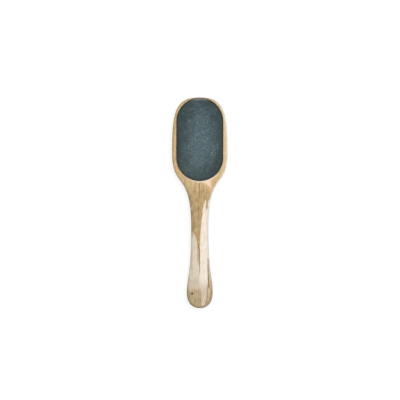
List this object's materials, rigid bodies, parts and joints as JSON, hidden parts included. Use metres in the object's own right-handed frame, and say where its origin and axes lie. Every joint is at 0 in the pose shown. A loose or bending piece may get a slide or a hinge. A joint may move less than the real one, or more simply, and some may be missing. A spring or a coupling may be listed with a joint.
{
  "type": "foot file",
  "caption": "Two-sided foot file: flat wooden paddle with a rounded head and a waisted handle, and a foam-backed abrasive pad on each face of the head.",
  "frame": {"origin": "centre of the object's length and width, on the outer face of the rear pad, which is the surface that the file lies on", "axes": "+Z out of the front pad, the one in the picture; +Y along the length from the end of the handle to the tip of the head; +X to the right when the front pad is seen with the head up"},
  "size_m": [0.0632, 0.24, 0.0131],
  "materials": {
    "wood": "satin",
    "adhesive": "gloss",
    "foam": "matte",
    "backing_paper": "matte",
    "fine_grit": "matte",
    "coarse_grit": "matte"
  },
  "bodies": {
    "root": {"wooden_body": "wood", "front_adhesive_film": "adhesive", "front_foam_cushion": "foam", "front_backing_paper": "backing_paper", "front_grit_coat": "fine_grit", "rear_adhesive_film": "adhesive", "rear_foam_cushion": "foam", "rear_backing_paper": "backing_paper", "rear_grit_coat": "coarse_grit"}
  },
  "joints": []
}
